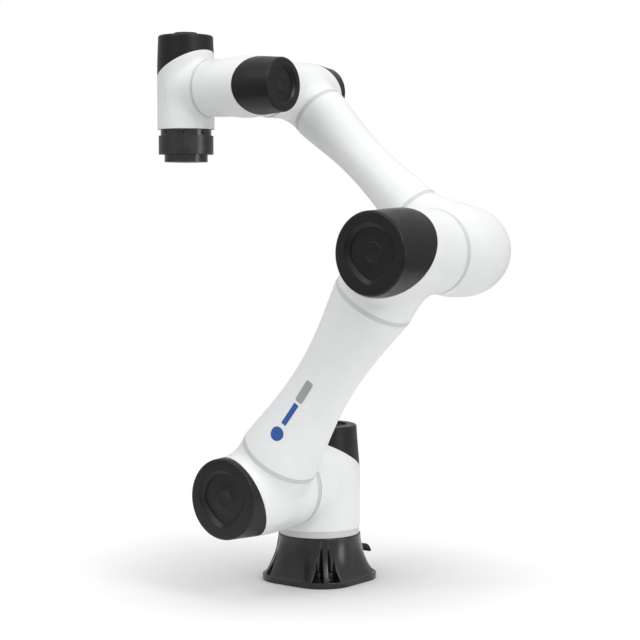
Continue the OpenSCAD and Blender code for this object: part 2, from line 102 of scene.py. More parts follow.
COLUMN = Place([0, 0, 0], Z, X)
SHOULDER = Place(SHOULDER_POINT, X, UPPER_DIR)
ELBOW = Place(ELBOW_POINT, X, -UPPER_DIR)
ELBOW_FAR = Place(ELBOW_POINT, X, FOREARM_DIR)
WRIST1 = Place(WRIST_POINT, -X, -FOREARM_DIR)
WRIST1_NECK = Place([0, *WRIST_POINT[1:]], X, Z)
WRIST2 = Place([WRIST_X, *WRIST_POINT[1:]], Y, -X)
WRIST3 = Place(TOOL_POINT, Z, Y)
WRIST3_NECK = Place(TOOL_POINT, Y, Z)
UPPER = Place([UPPER_X, *SHOULDER_POINT[1:]], UPPER_DIR, X)
FOREARM = Place([FOREARM_X, *ELBOW_POINT[1:]], FOREARM_DIR, X)

UPPER_LEN = np.linalg.norm(ELBOW_POINT - SHOULDER_POINT)
FOREARM_LEN = np.linalg.norm(WRIST_POINT - ELBOW_POINT)
BASE_TOP = span("base_casting", 2)[1]
COLUMN_FOOT = span("shoulder_housing", 2)[0]
COLUMN_TOP = span("shoulder_cap", 2)[1]
SHOULDER_FACE, SHOULDER_RIM = span("upper_arm_housing", 0)[0], span("upper_arm_cap", 0)[1]
ELBOW_FACE, ELBOW_RIM = span("elbow_housing", 0)[0], span("elbow_cap", 0)[1]
WRIST1_SEAM = span("wrist1_housing", 0)[1]
WRIST1_RIM = -span("wrist1_cap", 0)[0]
WRIST2_SEAM = span("wrist2_housing", 1)[0] - WRIST_POINT[1]
WRIST2_RIM = span("wrist2_cap", 1)[1] - WRIST_POINT[1]
WRIST3_SEAM = span("wrist3_housing", 2)[0] - WRIST_POINT[2]
WRIST3_RIM = span("wrist3_cap", 2)[1] - WRIST_POINT[2]
# Seal bands between the housings, each along its joint's axis
SHOULDER_SEAL = span("upper_arm_seal_ring", 0)
ELBOW_SEAL = span("forearm_seal_ring", 0)
WRIST1_SEAL = span("wrist2_seal_ring", 0)

# Slanted seams between each housing and its cap: offset on the axis, all with the same slope
SEAM_SLOPE = 0.537
CUT = {"column": 187.5, "shoulder": 184, "elbow": 171, "wrist1": 15, "wrist2": 27.5, "wrist3": 34}
SEAM_LINE = 0.5
# Width of the trim rings on the arm tubes, and the gap between the column's neck and its seal
TRIM = 6.5
GAP = 0.4
# Rounding of the cut edges of castings and of caps
CAST_EDGE = 0.45
CAP_EDGE = 0.4
# Turned sides shared by a housing and its cap, as (height on the joint's axis, radius)
SIDES = {
    "column": [(60, 60.6), (150, 60.6), (COLUMN_TOP + 8, 55.4)],
    "shoulder": [(SHOULDER_FACE - 14, 58.2), (140, 60.8), (SHOULDER_RIM + 15, 56.8)],
    "elbow": [(ELBOW_FACE - 14, 58.2), (140, 60.2), (ELBOW_RIM + 15, 55.9)],
    "wrist1": [(-WRIST1_SEAM - 8, 42), (0, 42), (WRIST1_RIM + 5, 37.5)],
    "wrist2": [(WRIST2_SEAM - 8, 40.0), (WRIST2_SEAM + 25, 41.6), (20, 41.4), (WRIST2_RIM + 6, 38.2)],
    "wrist3": [(WRIST3_SEAM - 8, 41.6), (30, 41.6), (WRIST3_RIM + 6, 40.0)],
}
# Middles of the trim rings, measured along each arm from its lower joint
LOWER_RING, UPPER_RING = 70.5, 348.7
FOREARM_LOWER_RING, FOREARM_UPPER_RING = 82.0, 306.8


# ---------------------------------------------------------------- distance functions
def rounded_max(a, b, k):
    """Meeting of two solids, with their common edge rounded to radius k."""
    return np.minimum(np.maximum(a, b), -k) + np.hypot(np.maximum(a + k, 0), np.maximum(b + k, 0))


def blend(a, b, k):
    """Union of two solids with a fillet about k wide."""
    h = np.maximum(k - np.abs(a - b), 0) / k
    return np.minimum(a, b) - h * h * k / 4


def turned(place, profile, edges=(0.0, 0.0)):
    """Round bar on the place's z axis through (z, radius) points, its two ends rounded to the edge radii."""
    zs, rs = np.array(profile, float).T

    def distance(p):
        q = place.local(p)
        side = np.hypot(q[:, 0], q[:, 1]) - smooth_interp(q[:, 2], zs, rs)
        low = rounded_max(side, zs[0] - q[:, 2], edges[0])
        return rounded_max(low, q[:, 2] - zs[-1], edges[1])

    return distance


def smooth_interp(z, zs, rs):
    """Interpolation that eases in and out of every point."""
    i = np.clip(np.searchsorted(zs, z) - 1, 0, len(zs) - 2)
    t = np.clip((z - zs[i]) / (zs[i + 1] - zs[i]), 0, 1)
    return rs[i] + (rs[i + 1] - rs[i]) * t * t * (3 - 2 * t)


def joined(a, b, k):
    return lambda p: blend(a(p), b(p), k)


# ---------------------------------------------------------------- meshes from distance functions
def crossings(values, grid, low, cell):
    """For each cell with a change of sign, the mean of the points where its edges cross zero."""
    shape = np.array(values.shape) - 1
    total = np.zeros((*shape, 3))
    count = np.zeros(shape)
    for axis in range(3):
        others = [a for a in range(3) if a != axis]
        for i in (0, 1):
            for j in (0, 1):
                start = [slice(0, s) for s in shape]
                start[others[0]] = slice(i, i + shape[others[0]])
                start[others[1]] = slice(j, j + shape[others[1]])
                stop = list(start)
                stop[axis] = slice(1, 1 + shape[axis])
                a, b = values[tuple(start)], values[tuple(stop)]
                hit = (a < 0) != (b < 0)
                t = np.where(hit, a / np.where(hit, a - b, 1), 0)
                point = grid[tuple(start)].copy()
                point[..., axis] += t * cell
                total += np.where(hit[..., None], point, 0)
                count += hit
    return total, count


def surface_net(f, low, high, cell):
    """Closed quad mesh of f = 0 inside a box, with its points moved onto the surface."""
    sizes = np.ceil((np.array(high) - low) / cell).astype(int) + 1
    lines = [low[a] + cell * np.arange(sizes[a]) for a in range(3)]
    grid = np.stack(np.meshgrid(*lines, indexing="ij"), -1)
    values = f(grid.reshape(-1, 3)).reshape(sizes)
    total, count = crossings(values, grid, low, cell)
    used = count > 0
    index = np.full(used.shape, -1)
    index[used] = np.arange(used.sum())
    points = total[used] / count[used][:, None]
    quads = []
    inside = values < 0
    for axis in range(3):
        a, b = np.roll([0, 1, 2], -axis)[1:]
        core = [slice(1, -1)] * 3
        core[axis] = slice(0, -1)
        nxt = list(core)
        nxt[axis] = slice(1, None)
        here, there = inside[tuple(core)], inside[tuple(nxt)]
        flip = here & ~there
        for mask, order in ((flip, (0, 1, 2, 3)), (~here & there, (3, 2, 1, 0))):
            where = np.argwhere(mask)
            where[:, a] += 1
            where[:, b] += 1
            ring = []
            for da, db in ((-1, -1), (0, -1), (0, 0), (-1, 0)):
                cell_at = where.copy()
                cell_at[:, a] += da
                cell_at[:, b] += db
                ring.append(index[tuple(cell_at.T)])
            quads.append(np.stack([ring[k] for k in order], 1))
    faces = np.vstack(quads)
    for _ in range(3):
        points = onto(f, relaxed(points, faces))
    return points, faces


def relaxed(points, faces):
    """Each point moved halfway to the mean of the face centres around it."""
    centres = points[faces].mean(1)
    total = np.zeros_like(points)
    count = np.zeros(len(points))
    for k in range(4):
        np.add.at(total, faces[:, k], centres)
        np.add.at(count, faces[:, k], 1)
    return (points + total / count[:, None]) / 2


def onto(f, points):
    """Points moved along the gradient onto f = 0."""
    step = 0.02
    for _ in range(3):
        slope = np.stack([(f(points + step * d) - f(points - step * d)) / (2 * step) for d in (X, Y, Z)], 1)
        size = np.maximum((slope**2).sum(1), 0.05)
        points = points - slope * (f(points) / size)[:, None]
    return points


def seam_plane(place, offset):
    """A plane across the place's z axis, rising towards its local x, with its normal along local z."""
    normal = unit(np.array([-SEAM_SLOPE, 0, 1]))
    return place.world(np.array([0, 0, offset])), normal @ place.rows


def flat_plane(place, offset, side):
    return place.world(np.array([0, 0, offset])), place.rows[2] * side


def cut_mesh(bm, point, normal, bevel):
    """Cuts away what lies beyond a plane, closes the section and rounds its edges a little."""
    geom = bm.verts[:] + bm.edges[:] + bm.faces[:]
    bmesh.ops.bisect_plane(
        bm, geom=geom, dist=1e-5, plane_co=Vector(point), plane_no=Vector(normal), clear_outer=True
    )
    on_plane = [v for v in bm.verts if abs((v.co - Vector(point)).dot(Vector(normal))) < 1e-3]
    bmesh.ops.remove_doubles(bm, verts=on_plane, dist=0.5)
    rim = [e for e in bm.edges if e.is_boundary]
    bmesh.ops.triangle_fill(bm, edges=rim, use_beauty=True, normal=Vector(normal))
    rim = [e for e in rim if e.is_valid and len(e.link_faces) == 2]
    bmesh.ops.bevel(
        bm, geom=rim, offset=bevel, segments=2, profile=0.5, affect="EDGES", clamp_overlap=True
    )


def finished_mesh(name, bm, sharp=35):
    """A mesh in metres from a bmesh in millimetres, smooth but for its sharp edges."""
    bmesh.ops.dissolve_degenerate(bm, edges=bm.edges[:], dist=1e-3)
    bmesh.ops.recalc_face_normals(bm, faces=bm.faces[:])
    mesh = bpy.data.meshes.new(name)
    bm.to_mesh(mesh)
    bm.free()
    mesh.transform(Matrix.Scale(MM, 4))
    mesh.shade_smooth()
    mesh.set_sharp_from_angle(angle=math.radians(sharp))
    mesh.update()
    return mesh


def add_part(bm, points, faces):
    verts = [bm.verts.new(p) for p in points]
    for face in faces:
        corners = [verts[i] for i in face]
        if len(set(corners)) == len(corners):
            bm.faces.new(corners)


def casting(name, f, box, wall, cuts, cell=2.2):
    """Hollow casting of even wall thickness, open and flat at each cut."""
    low, high = np.array(box[0], float), np.array(box[1], float)
    bm = bmesh.new()
    add_part(bm, *surface_net(f, low, high, cell))
    points, faces = surface_net(lambda p: f(p) + wall, low, high, cell * 1.5)
    add_part(bm, points, faces[:, ::-1])
    for point, normal in cuts:
        cut_mesh(bm, point, normal, CAST_EDGE)
    return finished_mesh(name, bm)


def revolve(profile, segments=144):
    """Rings of points around z from (radius, z) points, and the faces between them."""
    angles = np.arange(segments) * 2 * math.pi / segments
    ring = np.stack([np.cos(angles), np.sin(angles)], 1)
    points, rows = [], []
    for r, z in profile:
        if r < 1e-6:
            rows.append([len(points)] * segments)
            points.append((0, 0, z))
        else:
            rows.append(list(range(len(points), len(points) + segments)))
            points.extend((r * c, r * s, z) for c, s in ring)
    return np.array(points, float), loft(rows)


def loft(rows):
    """Faces between closed rows of point numbers, with triangles where a row is one point."""
    faces = []
    for a, b in zip(rows, rows[1:]):
        for i in range(len(a)):
            j = (i + 1) % len(a)
            faces.append(list(dict.fromkeys((a[i], a[j], b[j], b[i]))))
    return faces


def arc(cx, cy, r, a0, a1, steps=6):
    """Points of an arc, angles in degrees."""
    return [
        (cx + r * math.cos(math.radians(a)), cy + r * math.sin(math.radians(a)))
        for a in np.linspace(a0, a1, steps + 1)
    ]


# ---------------------------------------------------------------- materials
class Nodes:
    """Small helper for a procedural material on the Principled shader."""

    def __init__(self, name):
        self.material = bpy.data.materials.new(name)
        self.material.use_nodes = True
        self.tree = self.material.node_tree
        self.shader = self.tree.nodes["Principled BSDF"]
        self.place = self.new("ShaderNodeTexCoord").outputs["Object"]

    def new(self, kind, **values):
        node = self.tree.nodes.new(kind)
        for key, value in values.items():
            setattr(node, key, value)
        return node

    def link(self, a, b):
        self.tree.links.new(a, b)

    def set(self, **values):
        for key, value in values.items():
            self.shader.inputs[key.replace("_", " ")].default_value = value

    def noise(self, scale, detail=3.0, rough=0.55, stretch=None):
        node = self.new("ShaderNodeTexNoise")
        node.inputs["Scale"].default_value = scale
        node.inputs["Detail"].default_value = detail
        node.inputs["Roughness"].default_value = rough
        source = self.place
        if stretch:
            mapping = self.new("ShaderNodeMapping")
            mapping.inputs["Scale"].default_value = stretch
            self.link(source, mapping.inputs["Vector"])
            source = mapping.outputs["Vector"]
        self.link(source, node.inputs["Vector"])
        return node.outputs["Fac"]

    def ramp(self, source, low, high, a=0.3, b=0.7):
        node = self.new("ShaderNodeMapRange")
        for key, value in (("From Min", a), ("From Max", b), ("To Min", low), ("To Max", high)):
            node.inputs[key].default_value = value
        self.link(source, node.inputs["Value"])
        return node.outputs["Result"]

    def colours(self, source, low, high, a=0.35, b=0.65):
        node = self.new("ShaderNodeValToRGB")
        node.color_ramp.elements[0].position = a
        node.color_ramp.elements[1].position = b
        node.color_ramp.elements[0].color = (*low, 1)
        node.color_ramp.elements[1].color = (*high, 1)
        self.link(source, node.inputs["Fac"])
        return node.outputs["Color"]

    def bump(self, source, strength, distance, normal=None):
        node = self.new("ShaderNodeBump")
        node.inputs["Strength"].default_value = strength
        node.inputs["Distance"].default_value = distance
        self.link(source, node.inputs["Height"])
        if normal:
            self.link(normal, node.inputs["Normal"])
        return node.outputs["Normal"]

    def finish(self, colour=None, rough=None, normal=None):
        for source, key in ((colour, "Base Color"), (rough, "Roughness"), (normal, "Normal")):
            if source:
                self.link(source, self.shader.inputs[key])
        return self.material


def coating(name, low, high, rough, grain, depth, gloss=0.5):
    """Powder coat or moulded skin: soft mottling, fine grain and a slightly uneven gloss."""
    n = Nodes(name)
    colour = n.colours(n.noise(18, 4), low, high)
    shine = n.ramp(n.noise(70, 3), rough - 0.05, rough + 0.05)
    fine = n.bump(n.noise(grain, 2, 0.6), 0.35, depth)
    soft = n.bump(n.noise(120, 2), 0.25, depth * 2.5, fine)
    n.set(Specular_IOR_Level=gloss)
    return n.finish(colour, shine, soft)


def white_shell():
    return coating("white_powder_coat", (0.755, 0.765, 0.77), (0.785, 0.79, 0.795), 0.42, 2600, 0.00004)


def black_cap():
    low, high = (0.0075, 0.0075, 0.008), (0.0105, 0.0105, 0.011)
    return coating("black_moulding", low, high, 0.37, 2400, 0.00003, 0.29)


def base_black():
    low, high = (0.009, 0.009, 0.0095), (0.012, 0.012, 0.0125)
    return coating("black_cast_coat", low, high, 0.24, 2200, 0.00001, 0.55)


def connector_black():
    low, high = (0.008, 0.008, 0.0085), (0.013, 0.013, 0.013)
    return coating("black_connector_moulding", low, high, 0.45, 1800, 0.00005, 0.25)


def grey_trim():
    return coating("grey_seal_rubber", (0.56, 0.57, 0.575), (0.61, 0.615, 0.62), 0.55, 1500, 0.00005)


def contact_block():
    return coating("contact_moulding", (0.05, 0.05, 0.052), (0.07, 0.07, 0.07), 0.5, 1500, 0.00005)


def metal(name, low, high, rough, metallic, centre=None):
    """Machined metal: turning lines around the upright axis through centre, or brushed one way."""
    n = Nodes(name)
    source = n.place
    if centre is not None:
        mapping = n.new("ShaderNodeMapping")
        mapping.inputs["Location"].default_value = [-c * MM for c in centre]
        n.link(source, mapping.inputs["Vector"])
        wave = n.new("ShaderNodeTexWave", wave_type="RINGS", rings_direction="Z")
        wave.inputs["Scale"].default_value = 900
        wave.inputs["Distortion"].default_value = 1.5
        wave.inputs["Detail"].default_value = 2
        n.link(mapping.outputs["Vector"], wave.inputs["Vector"])
        lines_from = wave.outputs["Fac"]
    else:
        lines_from = n.noise(400, 3, 0.6, (1, 1, 12))
    colour = n.colours(n.noise(60, 3), low, high)
    shine = n.ramp(lines_from, rough - 0.05, rough + 0.07, 0, 1)
    normal = n.bump(lines_from, 0.15, 0.00003)
    n.set(Metallic=metallic)
    return n.finish(colour, shine, normal)


def printed(name, low, high):
    """Printed film: flat ink with a faint halftone grain and a satin top."""
    n = Nodes(name)
    colour = n.colours(n.noise(900, 2), low, high)
    shine = n.ramp(n.noise(150, 2), 0.3, 0.38)
    n.set(Coat_Weight=0.3, Coat_Roughness=0.2)
    return n.finish(colour, shine, n.bump(n.noise(1800, 2), 0.2, 0.00003))


MATERIALS = {
    "white_shell": white_shell(),
    "black_cap": black_cap(),
    "base_black": base_black(),
    "connector_black": connector_black(),
    "grey_trim": grey_trim(),
    "contact_block": contact_block(),
    "cover_plate": metal("brushed_cover_plate", (0.28, 0.28, 0.29), (0.36, 0.36, 0.37), 0.42, 0.9),
    "flange_anodised": metal(
        "dark_anodised_flange", (0.060, 0.060, 0.063), (0.080, 0.080, 0.083), 0.26, 0.95, TOOL_POINT
    ),
    # Painted shade: the set screws are coloured near-black to stand in for the shade inside the holes they sit in.
    "screw_steel": metal("screw_steel_painted_hole_shade", (0.012, 0.012, 0.013), (0.02, 0.02, 0.02), 0.35, 0.8),
    "blue_print": printed("blue_ink", (0.015, 0.075, 0.30), (0.02, 0.09, 0.34)),
    "grey_print": printed("grey_ink", (0.30, 0.31, 0.32), (0.34, 0.35, 0.36)),
    "gear_steel": metal("ground_gear_steel", (0.42, 0.42, 0.43), (0.52, 0.52, 0.53), 0.25, 1.0),
    "stator_copper": metal("copper_winding", (0.55, 0.22, 0.08), (0.68, 0.30, 0.12), 0.35, 0.9),
    "rotor_steel": metal("turned_rotor_steel", (0.36, 0.36, 0.37), (0.46, 0.46, 0.47), 0.3, 1.0),
    "circuit_board": printed("solder_mask", (0.01, 0.12, 0.045), (0.015, 0.17, 0.06)),
}


def piece(name, mesh, slot, body, nodes):
    """A finished piece that stands for CAD nodes and rides on their body."""
    obj = bpy.data.objects.new(name, mesh)
    bpy.context.scene.collection.objects.link(obj)
    mesh.materials.clear()
    mesh.materials.append(MATERIALS[slot])
    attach(obj, body)
    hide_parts(*nodes)
    return obj


# ---------------------------------------------------------------- cast housings
def box_around(points, margin):
    points = np.array(points)
    return points.min(0) - margin, points.max(0) + margin


def shoulder_housing():
    column = turned(COLUMN, SIDES["column"])
    neck = turned(SHOULDER, [(-20, 30), (6, 46), (36, 58.3), (90, 58.3)])
    cuts = [
        flat_plane(COLUMN, COLUMN_FOOT, -1),
        seam_plane(COLUMN, CUT["column"]),
        flat_plane(SHOULDER, SHOULDER_SEAL[0] - GAP, 1),
    ]
    box = ([-66, -66, 50], [90, 66, 250])
    mesh = casting("shoulder_housing_cast", joined(column, neck, 16), box, 7, cuts)
    piece("shoulder_housing_cast", mesh, "white_shell", "shoulder", ["shoulder_housing"])


def large_housing(name, place, face, rim, joint, arm, arm_range, ring_cut, ring_side, node):
    barrel = turned(place, SIDES[joint])
    neck = turned(arm, [(arm_range[0], 57.0), (arm_range[1], 57.0)])
    cuts = [
        flat_plane(place, face, -1),
        seam_plane(place, CUT[joint]),
        flat_plane(arm, ring_cut, ring_side),
    ]
    ends = [place.world(np.array([0, 0, z])) for z in (face, rim)]
    ends += [arm.world(np.array([0, 0, t])) for t in arm_range]
    mesh = casting(name, joined(barrel, neck, 14), box_around(ends, 66), 6, cuts)
    piece(name, mesh, "white_shell", "upper_arm", [node])


def forearm_housing():
    face = ELBOW_SEAL[0]
    widest, dome = 64.6, 80.0
    angles = np.radians(np.linspace(84, 0, 22))
    round_end = [(-dome * math.sin(a), widest * math.cos(a)) for a in angles]
    barrel = turned(ELBOW_FAR, round_end + [(14, widest), (face + 1, 58.2), (face + 12, 58.2)], (4, 0))
    neck = turned(FOREARM, [(0, 46), (50, 44.5), (84, 39.2), (100, 39.2)])
    cuts = [
        flat_plane(ELBOW_FAR, face, 1),
        flat_plane(FOREARM, FOREARM_LOWER_RING - TRIM / 2, 1),
    ]
    ends = [ELBOW_FAR.world(np.array([0, 0, z])) for z in (-dome, face)]
    ends.append(FOREARM.world(np.array([0, 0, 60])))
    mesh = casting("forearm_housing_cast", joined(barrel, neck, 26), box_around(ends, 70), 8, cuts)
    piece("forearm_housing_cast", mesh, "white_shell", "forearm", ["forearm_housing"])


def wrist1_housing():
    barrel = turned(WRIST1, SIDES["wrist1"])
    neck = turned(FOREARM, [(FOREARM_UPPER_RING - 20, 40.4), (FOREARM_LEN, 40.4)])
    cuts = [
        flat_plane(WRIST1, -WRIST1_SEAM, -1),
        seam_plane(WRIST1, CUT["wrist1"]),
        flat_plane(FOREARM, FOREARM_UPPER_RING + TRIM / 2, -1),
    ]
    ends = [WRIST1.world(np.array([0, 0, z])) for z in (-WRIST1_SEAM, WRIST1_RIM)]
    ends.append(FOREARM.world(np.array([0, 0, FOREARM_UPPER_RING - 10])))
    mesh = casting("wrist1_housing_cast", joined(barrel, neck, 12), box_around(ends, 50), 5, cuts, 1.9)
    piece("wrist1_housing_cast", mesh, "white_shell", "forearm", ["wrist1_housing"])


def wrist2_housing():
    barrel = turned(WRIST2, SIDES["wrist2"])
    neck = turned(WRIST1_NECK, [(WRIST1_SEAM - 8, 41.0), (WRIST_X, 41.0)])
    cuts = [
        flat_plane(WRIST2, WRIST2_SEAM, -1),
        seam_plane(WRIST2, CUT["wrist2"]),
        flat_plane(WRIST1_NECK, WRIST1_SEAL[1], -1),
    ]
    ends = [WRIST2.world(np.array([0, 0, z])) for z in (WRIST2_SEAM, WRIST2_RIM)]
    ends.append(WRIST1_NECK.world(np.array([0, 0, WRIST1_SEAM])))
    mesh = casting("wrist2_housing_cast", joined(barrel, neck, 12), box_around(ends, 50), 5, cuts, 1.9)
    piece("wrist2_housing_cast", mesh, "white_shell", "wrist2", ["wrist2_housing"])


def wrist3_housing():
    face = span("wrist3_housing", 1)[1] - TOOL_POINT[1]
    barrel = turned(WRIST3, SIDES["wrist3"])
    neck = turned(WRIST3_NECK, [(0, 39.8), (face + 8, 39.8)])
    cuts = [
        flat_plane(WRIST3, WRIST3_SEAM, -1),
        seam_plane(WRIST3, CUT["wrist3"]),
        flat_plane(WRIST3_NECK, face, 1),
    ]
    ends = [WRIST3.world(np.array([0, 0, z])) for z in (WRIST3_SEAM, WRIST3_RIM)]
    ends.append(WRIST3_NECK.world(np.array([0, 0, face])))
    mesh = casting("wrist3_housing_cast", joined(barrel, neck, 8), box_around(ends, 50), 5, cuts, 1.9)
    piece("wrist3_housing_cast", mesh, "white_shell", "wrist3", ["wrist3_housing"])


# ---------------------------------------------------------------- arm tubes and labels
def waist(t, t0, t1, r0, r1, r_mid, fullness):
    """Radius of a waisted tube: narrow in the middle and fuller towards both ends."""
    x = (2 * t - t0 - t1) / (t1 - t0)
    return r_mid + ((r0 if x < 0 else r1) - r_mid) * x * x * (fullness + (1 - fullness) * x * x)


UPPER_SPAN = (LOWER_RING + TRIM / 2, UPPER_RING - TRIM / 2)
FOREARM_SPAN = (FOREARM_LOWER_RING + TRIM / 2, FOREARM_UPPER_RING - TRIM / 2)


def upper_radius(t):
    return waist(t, *UPPER_SPAN, 57.3, 57.3, 42.2, 1.35)


def forearm_radius(t):
    return waist(t, *FOREARM_SPAN, 39.2, 41.2, 31.8, 1.6)


def arm_tube(name, place, radius, t0, t1, wall, body, node):
    edge = 0.5
    ts = np.linspace(t0 + edge, t1 - edge, 70)
    outer = [(radius(t0) - edge, t0)] + [(radius(t), t) for t in ts] + [(radius(t1) - edge, t1)]
    inner = [(radius(t) - wall, t) for t in np.linspace(t1, t0, 40)]
    points, faces = revolve(outer + inner + outer[:1])
    bm = bmesh.new()
    add_part(bm, place.world(points), faces)
    bmesh.ops.remove_doubles(bm, verts=bm.verts[:], dist=1e-4)
    piece(name, finished_mesh(name, bm), "white_shell", body, [node])


# The labels' place around the upper arm, from its +X side towards +Y
LABEL_TURN = math.radians(6)


def film(name, t0, t1, half_width, round_r, slot, node):
    """Thin printed film on the outer side of the upper arm, following its surface."""
    lift, thick = 0.05, 0.25
    along = np.linspace(t0, t1, 61)
    across = np.linspace(-1, 1, 25)
    bm = bmesh.new()
    layers = []
    for height in (lift, lift + thick):
        rows = []
        for t in along:
            inset = max(round_r - min(t - t0, t1 - t), 0)
            half = half_width - (round_r - math.sqrt(max(round_r**2 - inset**2, 0)))
            r = upper_radius(t) + height
            row = []
            for a in across:
                angle = LABEL_TURN + max(half, 0.02) * a / upper_radius(t)
                q = np.array([r * math.cos(angle), r * math.sin(angle), t])
                row.append(bm.verts.new(UPPER.world(q)))
            rows.append(row)
        layers.append(rows)
    low, high = layers
    for rows in layers:
        for a, b in zip(rows, rows[1:]):
            for i in range(len(across) - 1):
                bm.faces.new((a[i], a[i + 1], b[i + 1], b[i]))
    outline = [(0, i) for i in range(len(across))] + [(k, len(across) - 1) for k in range(1, len(along))]
    outline += [(len(along) - 1, i) for i in range(len(across) - 2, -1, -1)]
    outline += [(k, 0) for k in range(len(along) - 2, 0, -1)]
    for (i, j), (k, m) in zip(outline, outline[1:] + outline[:1]):
        bm.faces.new((low[i][j], low[k][m], high[k][m], high[i][j]))
    piece(name, finished_mesh(name, bm), slot, "upper_arm", [node])


# ---------------------------------------------------------------- caps
def recess_radius(angle, base, pointed):
    """Outline of a cap's recess: round, or drawn in at both sides of a soft corner at angle 0."""
    if not pointed:
        return base
    turn = (angle + math.pi) % (2 * math.pi) - math.pi
    if abs(turn) > math.pi / 2:
        return base
    side = math.sqrt(math.sin(2 * turn) ** 2 + 0.03) - math.sqrt(0.03)
    return base * (1 - 0.13 * side)


def cap(name, place, joint, z0, z1, body, node, corner=None, boss=0.0, wide=1.0):
    """Moulded cap: the housing's side goes on to a rounded rim around a recess with a plain round boss."""
    segments = 168
    rim = 3.4
    wall = 2.6
    zs, rs = np.array(SIDES[joint], float).T
    side = np.linspace(z0, z1 - rim - 1.2, 26)
    side_r = smooth_interp(side, zs, rs)
    r0, r1 = side_r[0], float(smooth_interp(np.array([z1 - rim]), zs, rs)[0])
    depth = 0.12 * r1
    base = 0.775 * r1
    fillet = 0.055 * r1
    angles = np.arange(segments) * 2 * math.pi / segments
    points, rows = [], []

    def ring(radius_of, z):
        rows.append(list(range(len(points), len(points) + segments)))
        for a in angles:
            r = radius_of(a)
            points.append((r * math.cos(a), r * math.sin(a), z))

    def plain(r, z):
        ring(lambda a: r, z)

    def share(a, s):
        """From the recess's outline, s = 0, to the flat's outer edge, s = 1."""
        inner = recess_radius(a - (corner or 0), base, corner is not None)
        return inner + (r1 - rim - inner) * s

    side_top = z1 - rim
    for z, r in zip(side, side_r):
        plain(r, z)
    for r, z in arc(r1 - rim, side_top, rim, 0, 78, 6):
        plain(r, z)
    for s in (0.85, 0.6, 0.35, 0.12):
        ring(lambda a: share(a, s), z1 + 0.1 * (1 - s))
    for r, dz in arc(0, 0, fillet, 90, 45, 3):
        ring(lambda a: share(a, 0) + r - fillet * 0.9, z1 + 0.1 - fillet + dz)
    for r, dz in reversed(arc(0, 0, fillet, 270, 225, 3)):
        ring(lambda a: share(a, 0) - fillet * 1.1 + r * 0.6 - depth * 0.55, z1 - depth + fillet + dz)
    floor = z1 - depth
    ring(lambda a: share(a, 0) * 0.72, floor)
    plain(0.48 * r1, floor)
    for r, z in ((0.30, 0), (0.292, 0.12), (0.285, 0.7), (0.275, 1)):
        plain(r * r1 * wide, floor + z + boss * (z > 0))
    for r, z in ((0.2, 1), (0.19, 0.9), (0.18, 0.15), (0.172, 0), (0.08, 0)):
        plain(r * r1 * wide, floor + z + boss)
    tip = len(points)
    points.append((0, 0, floor + boss))
    rows.append([tip] * segments)
    outer_rows = rows
    rows = []
    for r, z in ((0, floor - wall), (r1 - wall - 3, floor - wall), (r1 - wall - 0.6, floor - wall - 2.4)):
        if r == 0:
            rows.append([len(points)] * segments)
            points.append((0, 0, z))
        else:
            plain(r, z)
    plain(r0 - wall, z0)
    faces = loft(outer_rows) + loft(rows) + loft([rows[-1], outer_rows[0]])
    bm = bmesh.new()
    add_part(bm, place.world(np.array(points)), faces)
    point, normal = seam_plane(place, CUT[joint] + SEAM_LINE)
    cut_mesh(bm, point, -normal, CAP_EDGE)
    piece(name, finished_mesh(name, bm, 40), "black_cap", body, [node])


# ---------------------------------------------------------------- base
def base_casting():
    foot_t, foot_half, corner_r, notch_in = 9.0, 75.0, 50.0, 39.0
    top_r, side_growth, corner_growth = 60.9, 12.4, 22.6
    flare_h, flare_end, flare_full = 92.0, 0.75, 0.332
    hole_out, hole_side, hole_r, head_r = 68.0, 9.5, 4.5, 6.8

    def rounded_square(p, half, corner):
        q = np.abs(p[:, :2]) - (half - corner)[:, None]
        return np.hypot(np.maximum(q[:, 0], 0), np.maximum(q[:, 1], 0)) + np.minimum(q.max(1), 0) - corner

    def f(p):
        z = p[:, 2]
        ones = np.ones(len(p))
        foot = rounded_square(p, foot_half * ones, corner_r * ones)
        foot = rounded_max(foot, np.maximum(z - foot_t, -z), 1.0)
        # The flare goes from round at the top to a rounded square at the foot
        above = np.clip((BASE_TOP + 8 - z) / flare_h, 0, flare_end)
        grown = (1 - np.sqrt(1 - above**2)) / flare_full
        half, reach = top_r + side_growth * grown, top_r + corner_growth * grown
        flare = rounded_square(p, half, (half * math.sqrt(2) - reach) / (math.sqrt(2) - 1))
        body = rounded_max(flare, z - BASE_TOP, 1.2)
        u, v = np.abs(p[:, 0]), np.abs(p[:, 1])
        notch = rounded_max(np.maximum(notch_in - u, notch_in - v), z - (BASE_TOP - 3), 2.0)
        body = rounded_max(body, -notch, 0.9)
        along, across = (u + v) / math.sqrt(2), np.abs(u - v) / math.sqrt(2)
        rib = rounded_max(np.maximum(across - 4.0, 40 - along), flare + 1.6, 1.0)
        body = blend(body, np.maximum(rib, z - (BASE_TOP - 4)), 1.5)
        solid = blend(body, foot, 1.2)
        holes = np.full(len(p), 1e3)
        for side in (-1, 1):
            hole = np.hypot(along - hole_out, (u - v) / math.sqrt(2) - side * hole_side)
            holes = np.minimum(holes, np.maximum(hole - head_r, np.maximum(foot_t - 1 - z, z - 21)))
            holes = np.minimum(holes, hole - hole_r)
        return rounded_max(np.maximum(solid, -z), -holes, 0.8)

    bm = bmesh.new()
    low, high = np.array([-79.0, -79.0, -3.0]), np.array([79.0, 79.0, BASE_TOP + 3])
    add_part(bm, *surface_net(f, low, high, 1.05))
    name = "base_casting_cast"
    piece(name, finished_mesh(name, bm, 50), "base_black", "base", ["base_casting"])


def repaint_carried_nodes():
    """Every CAD node that still shows gets its slot's procedural material."""
    for sub in frame["record"]["subparts"]:
        node = frame["nodes"][sub["node"]]
        if not node.hide_render:
            node.data.materials.clear()
            node.data.materials.append(MATERIALS[sub["material_slot"]])


